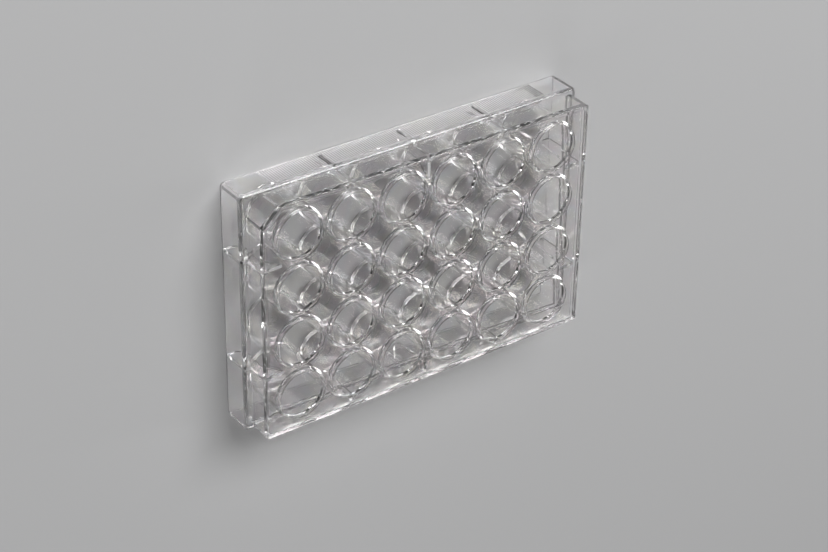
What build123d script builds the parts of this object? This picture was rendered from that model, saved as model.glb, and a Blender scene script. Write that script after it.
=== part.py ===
"""A clear 24-well plate, injection moulded in one piece.

The plate lies on the rim of its skirt with the mouths of the wells up. X runs along the
long side, Y along the short side and Z up. The origin is on the table, under the middle.
"""

import os
from math import atan2, degrees, hypot

from build123d import *

# Footprint and heights
footprint_length = 127.76
footprint_width = 85.48
footprint_corner = 1.8
plate_height = 20.2
skirt_height = 11.2
skirt_wall = 1.4
shoulder_radius = 1.5
rim_round = 0.3

# Upper body: the narrower block that a lid slides over, with one corner cut off
ledge_end = 2.3
ledge_side = 1.7
body_corner = 0.8
cut_corner = 6.2
body_wall = 1.3
frame_wall = 1.6
frame_round = 0.3
deck_drop = 1.2
deck_thickness = 1.3

# Wells: straight cups with a little taper that hang from the deck
columns = 6
rows = 4
pitch = 19.3
well_depth = 17.4
mouth_diameter = 16.3
floor_diameter = 15.6
side_wall = 1.0
foot_wall = 1.0
floor_thickness = 1.3
floor_corner = 0.4
foot_corner = 0.4

# Lip: a low rounded wall round each mouth, from the deck up to the level of the frame
lip_width = 0.4
lip_inner_round = 0.2
lip_outer_round = 0.19

# Gate mark: a shallow round dimple with a nub in its middle, under each well's floor
dimple_diameter = 5.8
dimple_depth = 0.2
nub_diameter = 1.1
nub_height = 0.15

# Gusset ribs that stiffen the skirt against the deck
rib_thickness = 1.2
rib_foot = 4.4
rib_bend = 12.8
rib_bend_reach = 5.4
rib_head = 8.5
rib_round = 2.6
side_rib_start = 1.8
end_rib_start = 0.6

# Grip: fine upright grooves in both long faces of the skirt
grip_length = 104.0
grip_pitch = 0.83
groove_side = 0.42
grip_bottom = 0.7
grip_top = 9.2

# Index characters: row letters and column numbers, raised on the deck
character_width = 1.3
character_height = 2.0
character_rise = 0.25
stroke_width = 0.3
letter_x = -58.2
letter_drop = 7.8
number_y = -38.0
number_shift = -6.5

# The strokes of each character, on a grid two steps wide and four steps high
strokes = {
    "1": [[(0, 3), (1, 4), (1, 0)]],
    "2": [[(0, 3), (0.5, 4), (1.5, 4), (2, 3), (2, 2.5), (0, 0), (2, 0)]],
    "3": [[(0, 4), (2, 4), (1, 2.4), (2, 1.6), (2, 0.8), (1.4, 0), (0.4, 0), (0, 0.6)]],
    "4": [[(1.5, 0), (1.5, 4), (0, 1.2), (2, 1.2)]],
    "5": [[(2, 4), (0, 4), (0, 2.3), (1.4, 2.3), (2, 1.6), (2, 0.7), (1.4, 0), (0, 0)]],
    "6": [[(1.7, 4), (0.6, 3), (0, 1.6), (0.5, 0), (1.5, 0), (2, 1), (1.5, 2.1), (0.4, 2)]],
    "A": [[(0, 0), (1, 4), (2, 0)], [(0.4, 1.5), (1.6, 1.5)]],
    "B": [[(0, 2), (0, 4), (1.4, 4), (1.9, 3.4), (1.4, 2), (0, 2), (0, 0), (1.4, 0), (2, 1), (1.4, 2)]],
    "C": [[(2, 3.2), (1.4, 4), (0.6, 4), (0, 3.1), (0, 0.9), (0.6, 0), (1.4, 0), (2, 0.8)]],
    "D": [[(0, 0), (0, 4), (1.2, 4), (2, 2.9), (2, 1.1), (1.2, 0), (0, 0)]],
}

# Worked out from the sizes above
body_length = footprint_length - 2 * ledge_end
body_width = footprint_width - 2 * ledge_side
deck_top = plate_height - deck_drop
deck_bottom = deck_top - deck_thickness
skirt_ceiling = skirt_height - skirt_wall
floor_top = plate_height - well_depth
floor_bottom = floor_top - floor_thickness
mouth_radius = mouth_diameter / 2
floor_radius = floor_diameter / 2
inside_x = footprint_length / 2 - skirt_wall
inside_y = footprint_width / 2 - skirt_wall
grooves = int(grip_length / grip_pitch)


def body_corners(inset):
    """The corners of the upper body's outline, moved inwards by an inset."""
    length = body_length - 2 * inset
    width = body_width - 2 * inset
    leg = cut_corner - (2 - 2**0.5) * inset
    return [
        (-length / 2, -width / 2),
        (length / 2, -width / 2),
        (length / 2, width / 2),
        (-length / 2 + leg, width / 2),
        (-length / 2, width / 2 - leg),
    ]


def rib_corners(start, ledge):
    """A rib's outline: x runs in from the skirt's inner face and y up from the table.

    Its outer edge ends inside the skirt's wall, the ledge and the upper body's wall.
    """
    return [
        (rib_foot, start),
        (-skirt_wall / 2, start),
        (-skirt_wall / 2, skirt_ceiling + skirt_wall / 2),
        (ledge - skirt_wall + body_wall / 2, skirt_ceiling + skirt_wall / 2),
        (ledge - skirt_wall + body_wall / 2, deck_bottom + deck_thickness / 2),
        (rib_head, deck_bottom + deck_thickness / 2),
        (rib_head, deck_bottom),
        (rib_bend_reach, rib_bend),
    ]


def rib_plane(x, y, inward):
    """The plane of a rib that starts at (x, y) and runs in the direction inward."""
    return Plane(origin=(x, y, 0), x_dir=inward, z_dir=Vector(*inward).cross(Vector(0, 0, 1)))


def draw_character(name, x, y):
    """Draw a character centred on (x, y) in the open sketch, as slots with round ends."""
    for stroke in strokes[name]:
        us = [x + (u / 2 - 0.5) * character_width for u, v in stroke]
        vs = [y + (v / 4 - 0.5) * character_height for u, v in stroke]
        for u0, v0, u1, v1 in zip(us, vs, us[1:], vs[1:]):
            turn = degrees(atan2(v1 - v0, u1 - u0))
            with Locations(((u0 + u1) / 2, (v0 + v1) / 2)):
                SlotCenterToCenter(hypot(u1 - u0, v1 - v0), stroke_width, rotation=turn)


side_ribs = [
    rib_plane(x, side * inside_y, (0, -side, 0))
    for x in (-1.5 * pitch, 0, 1.5 * pitch)
    for side in (-1, 1)
]
end_ribs = [
    rib_plane(end * inside_x, y, (-end, 0, 0))
    for y in (-pitch, pitch)
    for end in (-1, 1)
]


# The outside of one well, with its lip and the gate mark under its floor
with BuildPart() as well_outside:
    with BuildSketch(Plane.XZ) as outside_section:
        with BuildLine():
            Polyline(
                (0, floor_bottom + dimple_depth - nub_height),
                (nub_diameter / 2, floor_bottom + dimple_depth - nub_height),
                (nub_diameter / 2, floor_bottom + dimple_depth),
                (dimple_diameter / 2, floor_bottom + dimple_depth),
                (dimple_diameter / 2, floor_bottom),
                (floor_radius + foot_wall - foot_corner, floor_bottom),
                (floor_radius + foot_wall, floor_bottom + foot_corner),
                (mouth_radius + side_wall, deck_top),
                (mouth_radius + lip_width, deck_top),
                (mouth_radius + lip_width, plate_height),
                (0, plate_height),
                close=True,
            )
        make_face()
        lip = outside_section.vertices().sort_by(Axis.X).sort_by(Axis.Y)[-1]
        fillet(lip, lip_outer_round)
    revolve(axis=Axis.Z)

# The space inside one well
with BuildPart() as well_inside:
    with BuildSketch(Plane.XZ):
        with BuildLine():
            mouth = (mouth_radius, plate_height - lip_inner_round)
            flare = (mouth_radius + lip_inner_round, plate_height)
            Polyline(
                (0, floor_top),
                (floor_radius - floor_corner, floor_top),
                (floor_radius, floor_top + floor_corner),
                mouth,
            )
            RadiusArc(mouth, flare, lip_inner_round)
            Polyline(flare, (flare[0], plate_height + 1), (0, plate_height + 1), (0, floor_top))
        make_face()
    revolve(axis=Axis.Z)

with BuildPart() as plate:
    # Skirt with its rounded shoulder
    with BuildSketch():
        RectangleRounded(footprint_length, footprint_width, footprint_corner)
    extrude(amount=skirt_height)
    fillet(plate.edges().group_by(Axis.Z)[-1], shoulder_radius)
    # Upper body, standing on the skirt
    with BuildSketch() as body_outline:
        Polygon(*body_corners(0), align=None)
        fillet(body_outline.vertices(), body_corner)
    extrude(amount=plate_height)
    # Hollow from below: the skirt's space, then the space up to the deck
    with BuildSketch():
        RectangleRounded(2 * inside_x, 2 * inside_y, footprint_corner - skirt_wall)
    extrude(amount=skirt_ceiling, mode=Mode.SUBTRACT)
    fillet(plate.edges().group_by(Axis.Z)[0], rim_round)
    with BuildSketch():
        Polygon(*body_corners(body_wall), align=None)
    extrude(amount=deck_bottom, mode=Mode.SUBTRACT)
    # The deck lies a little below the frame's top
    with BuildSketch(Plane.XY.offset(deck_top)):
        Polygon(*body_corners(frame_wall), align=None)
    extrude(amount=deck_drop, mode=Mode.SUBTRACT)
    fillet(plate.edges().group_by(Axis.Z)[-1], frame_round)
    # Ribs, each with a rounded foot
    rib_sets = (
        (side_ribs, side_rib_start, ledge_side),
        (end_ribs, end_rib_start, ledge_end),
    )
    for planes, start, ledge in rib_sets:
        with BuildSketch(*planes) as ribs:
            with BuildLine():
                Polyline(*rib_corners(start, ledge), close=True)
            make_face()
            feet = ribs.vertices().group_by(Axis.Y)[0].filter_by_position(Axis.X, 1, 9)
            fillet(feet, rib_round)
        extrude(amount=rib_thickness / 2, both=True)
    # Wells
    with GridLocations(pitch, pitch, columns, rows):
        add(well_outside.part)
    with GridLocations(pitch, pitch, columns, rows):
        add(well_inside.part, mode=Mode.SUBTRACT)
    # Index characters
    with BuildSketch(Plane.XY.offset(deck_top)):
        for column, name in enumerate("123456"):
            draw_character(name, (column - (columns - 1) / 2) * pitch + number_shift, number_y)
        for row, name in enumerate("ABCD"):
            draw_character(name, letter_x, ((rows - 1) / 2 - row) * pitch - letter_drop)
    extrude(amount=character_rise)
    # Grip
    with BuildSketch(Plane.XY.offset(grip_bottom)):
        with GridLocations(grip_pitch, footprint_width, grooves, 2):
            Rectangle(groove_side, groove_side, rotation=45)
    extrude(amount=grip_top - grip_bottom, mode=Mode.SUBTRACT)
plate.part.label = "plate"

os.makedirs("parts", exist_ok=True)
export_step(plate.part, "parts/plate.step")
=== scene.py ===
# %% [markdown]
# # A clear culture plate
#
# The object is a 24-well culture plate, injection moulded in one shot of clear polystyrene.
# The frame brings its true form: skirt, frame, deck, wells, ribs, grip and index characters.
# What is left for Blender is how it looks. A clear thing has no colour of its own, so its
# look comes from three things: how fine the finish of each of its faces is, how the plastic
# bends light, and what there is around it to be bent and mirrored. The cells below make
# them in that order, after the camera.

import math

import bpy
import numpy as np
from mathutils import Matrix, Vector

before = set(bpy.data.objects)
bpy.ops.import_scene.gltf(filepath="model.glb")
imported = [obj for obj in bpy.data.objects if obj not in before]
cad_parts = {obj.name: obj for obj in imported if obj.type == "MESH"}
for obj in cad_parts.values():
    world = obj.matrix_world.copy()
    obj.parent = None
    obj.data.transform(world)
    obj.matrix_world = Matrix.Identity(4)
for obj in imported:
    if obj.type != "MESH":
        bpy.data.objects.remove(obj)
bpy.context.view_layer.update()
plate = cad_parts["plate"]

# %% [markdown]
# ## The camera
#
# The plate lies flat, and the camera looks down on it past its cut corner. It stands well
# back with a long lens, as for a catalogue picture, so that the wells stay nearly parallel.
# It could be turned with Euler angles, but a place, a target and a direction for the top of
# the picture say the same in words. Here that direction is +Y, across the plate, turned by
# a degree. Places are in metres, as in the frame, and the focal length is in millimetres.

# %% Place the camera
EYE = Vector((-0.3492, 0.3668, 0.4944))
TARGET = Vector((0.0009, -0.0077, 0.0101))
PICTURE_UP = Vector((-0.0176, 1, 0))
FOCAL_LENGTH = 95.46


def looking(place, target, up=Vector((0, 0, 1))):
    """The matrix of a camera or lamp at place, facing target, its top towards up.

    The axis behind it is the unit vector from the target. The axis to its right is up
    crossed with that, and its own top is the cross product of those two.
    """
    behind = (place - target).normalized()
    right = up.cross(behind).normalized()
    turn = Matrix((right, behind.cross(right), behind)).transposed().to_4x4()
    return Matrix.Translation(place) @ turn


def add_object(name, data, place=Matrix.Identity(4)):
    """Put new data into the scene as an object of that name."""
    made = bpy.data.objects.new(name, data)
    bpy.context.scene.collection.objects.link(made)
    made.matrix_world = place
    return made


camera = bpy.data.cameras.new("camera")
camera.lens = FOCAL_LENGTH
camera.clip_start = 0.01
bpy.context.scene.camera = add_object("camera", camera, looking(EYE, TARGET, PICTURE_UP))
print("camera", round((EYE - TARGET).length, 3), "m from the plate")

# %% [markdown]
# ## Writing shaders as sums
#
# A procedural finish is a sum worked out at every point of a surface. In Blender each step
# of that sum is a node, and a hundred of them are hard to read as a drawing. So one small
# class stands for a socket, and its operators add the Math nodes: `1 - mask` then reads as
# what it is. Every other kind of node comes from one method, `node`.


# %% A field and a graph
class Field:
    """A number, vector or colour that a shader works out at each point: an output socket."""

    def __init__(self, graph, socket):
        self.graph = graph
        self.socket = socket

    def output(self, name):
        """Another output of the node that this field comes from."""
        return Field(self.graph, self.socket.node.outputs[name])

    def __add__(self, other):
        return self.graph.math("ADD", self, other)

    def __radd__(self, other):
        return self.graph.math("ADD", other, self)

    def __sub__(self, other):
        return self.graph.math("SUBTRACT", self, other)

    def __rsub__(self, other):
        return self.graph.math("SUBTRACT", other, self)

    def __mul__(self, other):
        return self.graph.math("MULTIPLY", self, other)

    def __rmul__(self, other):
        return self.graph.math("MULTIPLY", other, self)

    def __truediv__(self, other):
        return self.graph.math("DIVIDE", self, other)

    def __pow__(self, other):
        return self.graph.math("POWER", self, other)

    def __abs__(self):
        return self.graph.math("ABSOLUTE", self)


class Graph:
    """The node tree of a material or of the world, emptied, and the one way to fill it."""

    def __init__(self, owner):
        owner.use_nodes = True
        self.tree = owner.node_tree
        self.tree.nodes.clear()

    def node(self, kind, settings=None, values=None, output=0):
        """Add a node: first its settings, then a value or a link for each of its sockets."""
        made = self.tree.nodes.new("ShaderNode" + kind)
        for name, setting in (settings or {}).items():
            if name == "stops":
                self.set_stops(made.color_ramp.elements, setting)
            else:
                setattr(made, name, setting)
        for name, value in (values or {}).items():
            if isinstance(value, Field):
                self.tree.links.new(value.socket, made.inputs[name])
            else:
                made.inputs[name].default_value = value
        return Field(self, made.outputs[output]) if made.outputs else None

    def set_stops(self, elements, stops):
        """Give a colour ramp its stops, each a place from 0 to 1 and a colour."""
        while len(elements) < len(stops):
            elements.new(1)
        for element, (place, colour) in zip(elements, stops):
            element.position = place
            element.color = (*colour, 1)

    def math(self, operation, *numbers):
        """One Math node on numbers or fields."""
        return self.node("Math", {"operation": operation}, dict(enumerate(numbers)))

    def scaled(self, vector, factors):
        """A vector field with each of its parts multiplied by its own factor."""
        return self.node("VectorMath", {"operation": "MULTIPLY"}, {0: vector, 1: factors})

    def ramp(self, field, start, end):
        """0 below start and 1 above end, with a smooth step between. It falls if end < start."""
        low, high = min(start, end), max(start, end)
        step = self.node(
            "MapRange",
            {"interpolation_type": "SMOOTHSTEP"},
            {"Value": field, "From Min": low, "From Max": high},
        )
        return step if start < end else 1 - step

    def noise(self, vector, scale, detail=2.0):
        """Smooth seedless noise, spread about 0 from -0.5 to 0.5."""
        values = {"Vector": vector, "Scale": scale, "Detail": detail}
        return self.node("TexNoise", {}, values) - 0.5


print("Math nodes come from + - * / ** and abs")

# %% [markdown]
# ## Where on the moulding a point is
#
# Each area of the steel mould is finished in its own way, and the plastic copies it, so the
# finish has to know which area a point is on. It could be painted on a UV map, but the parts
# are plain shapes: a few distances in millimetres say it exactly. `reach` is the distance
# from the axis of the nearest well. The wells lie on a square grid, so the fraction that is
# left of x over the pitch gives how far along its own square a point is. `upright` is 1 on
# walls and 0 on level faces, from the Z part of the direction that a face points in.

# %% Distances on the moulding, in millimetres
MILLIMETRE = 0.001
PITCH = 19.3
WALL_SLOPE = 0.3
LEVEL_SLOPE = 0.6


class Places:
    """What the finishes are worked out from: fields in millimetres, and `upright`."""

    def __init__(self, graph):
        metres = graph.node("TexCoord", output="Object")
        self.point = graph.scaled(metres, [1 / MILLIMETRE] * 3)
        parts = graph.node("SeparateXYZ", {}, {0: self.point})
        self.x, self.y, self.z = (parts.output(name) for name in "XYZ")
        self.across = (graph.math("FRACT", self.x / PITCH) - 0.5) * PITCH
        self.along = (graph.math("FRACT", self.y / PITCH) - 0.5) * PITCH
        self.reach = (self.across * self.across + self.along * self.along) ** 0.5
        facing = graph.node("TexCoord", output="Normal")
        slope = graph.node("SeparateXYZ", {}, {0: facing})
        self.upright = 1 - graph.ramp(abs(slope.output("Z")), WALL_SLOPE, LEVEL_SLOPE)


print("pitch", PITCH, "mm")

# %% [markdown]
# ## The relief of a moulded face
#
# Under a lamp, a clear moulding gives itself away by its mirror images, which are never
# quite straight. Thick places sink a little as they cool, which leaves long low waves.
# The melt fills each well from the gate under its floor and leaves faint lines that run out
# from there. The core pins are polished lengthwise, so that the wells let go of them, and
# the walls copy those fine upright lines. Where the rim stands on tables it is scuffed.
# All of it is far too fine for geometry, at a few thousandths of a millimetre, so it is a
# height that a Bump node reads, given here in true millimetres. Each kind has a depth, and
# a fineness that scales its noise: a larger number gives finer lines.

# %% Heights of the relief
SINK_DEPTH = 0.008
SINK_FINENESS = 0.07
FLOW_DEPTH = 0.004
FLOW_FINENESS = 5.0
FLOW_DRIFT = 0.02
FLOW_START = 1
FLOW_FULL = 4
AXIS_CORE = 0.5
POLISH_DEPTH = 0.0008
POLISH_FINENESS = 2.2
POLISH_STRETCH = (1, 1, 0.03)
SCUFF_DEPTH = 0.006
SCUFF_FINENESS = 1.6
SCUFF_STRETCH = (0.3, 2.5, 1)
SCUFF_HEIGHT = 0.7


def relief(graph, places):
    """The height of the surface over its plain form, in millimetres.

    It is the sum of long waves, lines that depend on the direction from the well's axis,
    lines that depend on x and y but hardly on z, and scratches near the rim. The direction
    is the way from the axis over the reach, with a little added that keeps it steady at the
    axis itself. The lines grow in from FLOW_START to FLOW_FULL.
    """
    sink = graph.noise(places.point, SINK_FINENESS, detail=1.0) * SINK_DEPTH
    away = places.reach + AXIS_CORE
    drift = places.reach * FLOW_DRIFT
    direction = {"X": places.across / away, "Y": places.along / away, "Z": drift}
    spoke = graph.node("CombineXYZ", {}, direction)
    flow = graph.noise(spoke, FLOW_FINENESS, detail=3.0) * FLOW_DEPTH
    flow = flow * graph.ramp(places.reach, FLOW_START, FLOW_FULL)
    strokes = graph.scaled(places.point, POLISH_STRETCH)
    polish = graph.noise(strokes, POLISH_FINENESS, detail=3.0) * POLISH_DEPTH * places.upright
    scratches = graph.scaled(places.point, SCUFF_STRETCH)
    worn = graph.ramp(places.z, SCUFF_HEIGHT, 0.0)
    scuff = graph.noise(scratches, SCUFF_FINENESS, detail=4.0) * SCUFF_DEPTH * worn
    return sink + flow + polish + scuff


print("deepest relief", SINK_DEPTH, "mm")

# %% [markdown]
# ## How polished each face is
#
# The mould is polished like a mirror where cells are looked at, and duller elsewhere: the
# grip is spark eroded, so its grooves are satin, and the round mark under each well, where
# the gate is, is left as it was turned. The rim is dulled by use. Roughness says this
# directly. It is nothing on the clear faces, because a rough clear plastic blurs all that
# is behind it. The places below are in millimetres, and each area ends softly.

# %% Roughness of the faces
CLEAR = 0.0
GRIP_ROUGHNESS = 0.12
GATE_ROUGHNESS = 0.16
RIM_ROUGHNESS = 0.3
GRIP_HALF_LENGTH = 52.0
GRIP_TOP = 9.3
GRIP_FACE = 42.72
GRIP_FLOOR = 42.45
GATE_RADIUS = 2.95
GATE_TOP = 2.0
RIM_TOP = 0.45
SPECK_FINENESS = 1.5
SOFT_EDGE = 0.1


def roughness(graph, places):
    """The roughness of each face: the clear value, raised on the areas that are duller.

    The satin part of the grip is its grooves, between their floors and the skirt's face.
    """
    grip = (
        graph.ramp(abs(places.x), GRIP_HALF_LENGTH + 2 * SOFT_EDGE, GRIP_HALF_LENGTH)
        * graph.ramp(places.z, GRIP_TOP + SOFT_EDGE, GRIP_TOP - SOFT_EDGE)
        * graph.ramp(abs(places.y), GRIP_FLOOR - SOFT_EDGE / 2, GRIP_FLOOR)
        * graph.ramp(abs(places.y), GRIP_FACE, GRIP_FACE - 0.4 * SOFT_EDGE)
    )
    gate = graph.ramp(places.reach, GATE_RADIUS + SOFT_EDGE, GATE_RADIUS - SOFT_EDGE)
    gate = gate * graph.ramp(places.z, GATE_TOP + 2 * SOFT_EDGE, GATE_TOP - 2 * SOFT_EDGE)
    specks = 1 + graph.noise(places.point, SPECK_FINENESS, detail=3.0)
    rim = graph.ramp(places.z, RIM_TOP, 0.0) * specks
    return CLEAR + grip * GRIP_ROUGHNESS + gate * GATE_ROUGHNESS + rim * RIM_ROUGHNESS


print("roughest", RIM_ROUGHNESS, "at the rim")

# %% [markdown]
# ## The colour of the plastic
#
# Polystyrene is nearly without colour. But the melt freezes under stress, and stressed
# plastic splits light by its colours, so a clear moulding shows faint bands of pink, blue
# and yellow, closest together round the gates. A true sum of that would follow the light
# through the wall. A ramp of pale colours over distance from the well, bent by noise, gives
# the same faint bands. They are held to a few hundredths, because light crosses many walls
# and each one tints it again.

# %% Tint of the plastic
BAND_WIDTH = 7.0
BAND_CLIMB = 0.3
BAND_BEND = 3
BEND_FINENESS = 0.05
BANDS = (
    (0.0, (0.984, 0.981, 0.98)),
    (0.3, (1.0, 0.96, 0.972)),
    (0.5, (0.962, 0.978, 1.0)),
    (0.75, (0.996, 0.986, 0.95)),
    (1.0, (0.984, 0.981, 0.98)),
)


def tint(graph, places):
    """Pale colours that repeat every BAND_WIDTH from the nearest well's axis.

    The distance grows a little with height, and slow noise shifts it, in whole bands.
    """
    bend = graph.noise(places.point, BEND_FINENESS) * BAND_BEND
    distance = places.reach + places.z * BAND_CLIMB
    order = graph.math("FRACT", distance / BAND_WIDTH + bend)
    return graph.node("ValToRGB", {"stops": BANDS}, {"Fac": order}, output="Color")


print("colour stops", len(BANDS))

# %% [markdown]
# ## The clear plastic
#
# One Principled shader with full transmission bends and mirrors light as polystyrene does,
# at an index of 1.59. The path of light that has been bent by a wall can hardly be found
# from the floor, so the plate would stand in a black shadow. A Mix Shader lets rays on
# their way to a lamp go straight on instead, about halved at each face, which gives the
# soft grey shadow of the real thing.

# %% Make the material
POLYSTYRENE_INDEX = 1.59
SHADOW_TINT = (0.52, 0.52, 0.52, 1)


def clear_polystyrene():
    """The plate's material: clear plastic with its relief, finish and tint."""
    material = bpy.data.materials.new("clear_polystyrene")
    graph = Graph(material)
    places = Places(graph)
    height = relief(graph, places)
    normal = graph.node("Bump", {}, {"Distance": MILLIMETRE, "Strength": 1.0, "Height": height})
    plastic = graph.node(
        "BsdfPrincipled",
        {},
        {
            "Base Color": tint(graph, places),
            "Roughness": roughness(graph, places),
            "IOR": POLYSTYRENE_INDEX,
            "Transmission Weight": 1.0,
            "Normal": normal,
        },
    )
    passing = graph.node("BsdfTransparent", {}, {"Color": SHADOW_TINT})
    to_lamp = graph.node("LightPath", output="Is Shadow Ray")
    mixed = graph.node("MixShader", {}, {0: to_lamp, 1: plastic, 2: passing})
    graph.node("OutputMaterial", {}, {"Surface": mixed})
    return material


plate.data.materials.clear()
plate.data.materials.append(clear_polystyrene())
print("nodes", len(plate.data.materials[0].node_tree.nodes))

# %% [markdown]
# ## How long to follow the light
#
# The walls of the plate work as light guides. Light that enters one is mirrored along it
# inside, and comes out at its edge as a bright line. A ray also crosses a dozen faces on
# its way through the wells. Blender stops following a ray after four mirrorings and twelve
# crossings, and what it hasn't found by then stays black. Here it is given more.

# %% Follow the light through the walls
MOST_BOUNCES = 24

paths = bpy.context.scene.cycles
paths.max_bounces = MOST_BOUNCES
paths.glossy_bounces = MOST_BOUNCES
paths.transmission_bounces = MOST_BOUNCES
paths.transparent_max_bounces = MOST_BOUNCES
print("bounces", MOST_BOUNCES)

# %% [markdown]
# ## The floor
#
# Clear plastic shows what is behind it, so the floor matters as much as the plate. A flat
# sheet would end in a hard line in the low views. A studio uses a sweep, a sheet that curves
# up behind the object, and because this plate is seen from all sides the sweep goes all
# the way round, like a shallow dish. It is a profile turned about the Z axis: a straight
# run out from the middle, then a quarter of a circle upwards.

# %% Turn the floor from its profile
FLAT_RADIUS = 1.5
CURVE_RADIUS = 1.0
MIDDLE_RADIUS = 0.02
RUN_POINTS = 12
CURVE_POINTS = 24
TURNS = 128


def floor_profile():
    """Distances from the axis and heights along the profile, from just off the middle out."""
    run = np.linspace(MIDDLE_RADIUS, FLAT_RADIUS, RUN_POINTS)
    angle = np.linspace(0, math.pi / 2, CURVE_POINTS + 1)[1:]
    distance = np.concatenate([run, FLAT_RADIUS + CURVE_RADIUS * np.sin(angle)])
    height = np.concatenate([0 * run, CURVE_RADIUS * (1 - np.cos(angle))])
    return distance, height


def turned_surface(name, distance, height, turns):
    """A profile turned about Z, closed at its middle by one more point.

    A point at a distance and a turn has x = distance times the cosine of the turn,
    y = distance times its sine, and the height of the profile there.
    """
    turn = np.linspace(0, 2 * math.pi, turns, endpoint=False)
    rings = np.stack(
        [
            np.outer(distance, np.cos(turn)),
            np.outer(distance, np.sin(turn)),
            np.outer(height, np.ones(turns)),
        ],
        axis=-1,
    )
    points = np.concatenate([rings.reshape(-1, 3), [[0, 0, height[0]]]])
    ring, step = np.meshgrid(np.arange(len(distance) - 1), np.arange(turns), indexing="ij")
    after = (step + 1) % turns
    inner, outer = ring * turns, (ring + 1) * turns
    quads = np.stack([inner + step, outer + step, outer + after, inner + after], axis=-1)
    first = np.arange(turns)
    middle = np.full(turns, len(points) - 1)
    fan = np.stack([middle, first, (first + 1) % turns], axis=-1)
    mesh = bpy.data.meshes.new(name)
    mesh.from_pydata(points.tolist(), [], quads.reshape(-1, 4).tolist() + fan.tolist())
    mesh.shade_smooth()
    return mesh


floor = add_object("floor", turned_surface("floor", *floor_profile(), TURNS))
print("floor", len(floor.data.polygons), "faces")

# %% [markdown]
# The floor is matt and pale grey. White would swallow the bright lines on the edges of the
# plate, and those lines are what draws a clear thing. The lamps below all face the plate,
# so the far parts of the sheet get less light by themselves. The plate's walls and edges
# bend that dimmer light towards the eye, which draws them in dark lines as well.

# %% Paint the floor
FLOOR_COLOUR = (0.39, 0.39, 0.393, 1)


def matt_grey():
    """A plain matt floor."""
    material = bpy.data.materials.new("matt_grey")
    graph = Graph(material)
    values = {"Base Color": FLOOR_COLOUR, "Roughness": 0.8, "Specular IOR Level": 0.2}
    graph.node("OutputMaterial", {}, {"Surface": graph.node("BsdfPrincipled", {}, values)})
    return material


floor.data.materials.append(matt_grey())
print("floor colour", FLOOR_COLOUR[0])

# %% [markdown]
# ## The lamps
#
# A clear plate is lit by what it mirrors and bends. One broad soft lamp, high on the far
# side, lights the floor and shows as the pale sheets in the wells. Three narrow strips
# stand round the plate, each given here by its turn in degrees and its height in metres.
# Every rounded lip and edge mirrors one of them or the broad lamp as a thin bright line,
# from whichever side it is seen. None stands where the flat deck would mirror it towards
# the camera, so that the deck stays clear.
# The lamps themselves aren't seen, so that every view keeps its plain background.

# %% Hang the soft lamps
KEY_PLACE = Vector((0.4, 1.2, 1.2))
KEY_SIZE = (1.45, 0.8)
KEY_BRIGHTNESS = 12
STRIP_DISTANCE = 1.45
STRIP_SIZE = (0.09, 1.05)
STRIP_BRIGHTNESS = 12
STRIPS = ((195, 0.75), (255, 0.9), (350, 0.7))


def soft_lamp(name, place, size, brightness):
    """A rectangular lamp facing the plate. Its power is its brightness times its area and pi."""
    lamp = bpy.data.lights.new(name, "AREA")
    lamp.shape = "RECTANGLE"
    lamp.size, lamp.size_y = size
    lamp.energy = brightness * math.pi * size[0] * size[1]
    made = add_object(name, lamp, looking(place, Vector((0, 0, 0))))
    made.visible_camera = False
    print(name, round(lamp.energy, 1), "W")


soft_lamp("key", KEY_PLACE, KEY_SIZE, KEY_BRIGHTNESS)
for turn, height in STRIPS:
    across = STRIP_DISTANCE * math.cos(math.radians(turn))
    along = STRIP_DISTANCE * math.sin(math.radians(turn))
    soft_lamp(f"strip_{turn}", Vector((across, along, height)), STRIP_SIZE, STRIP_BRIGHTNESS)

# %% [markdown]
# The rest of the room is a dim even grey that fills the shadows.

# %% Light the room
ROOM_BRIGHTNESS = 0.05

room = bpy.data.worlds.new("room")
bpy.context.scene.world = room
room_graph = Graph(room)
room_light = room_graph.node(
    "Background", {}, {"Color": (1, 1, 1, 1), "Strength": ROOM_BRIGHTNESS}
)
room_graph.node("OutputWorld", {}, {"Surface": room_light})
bpy.context.scene.view_settings.view_transform = "Standard"
print("room", ROOM_BRIGHTNESS)
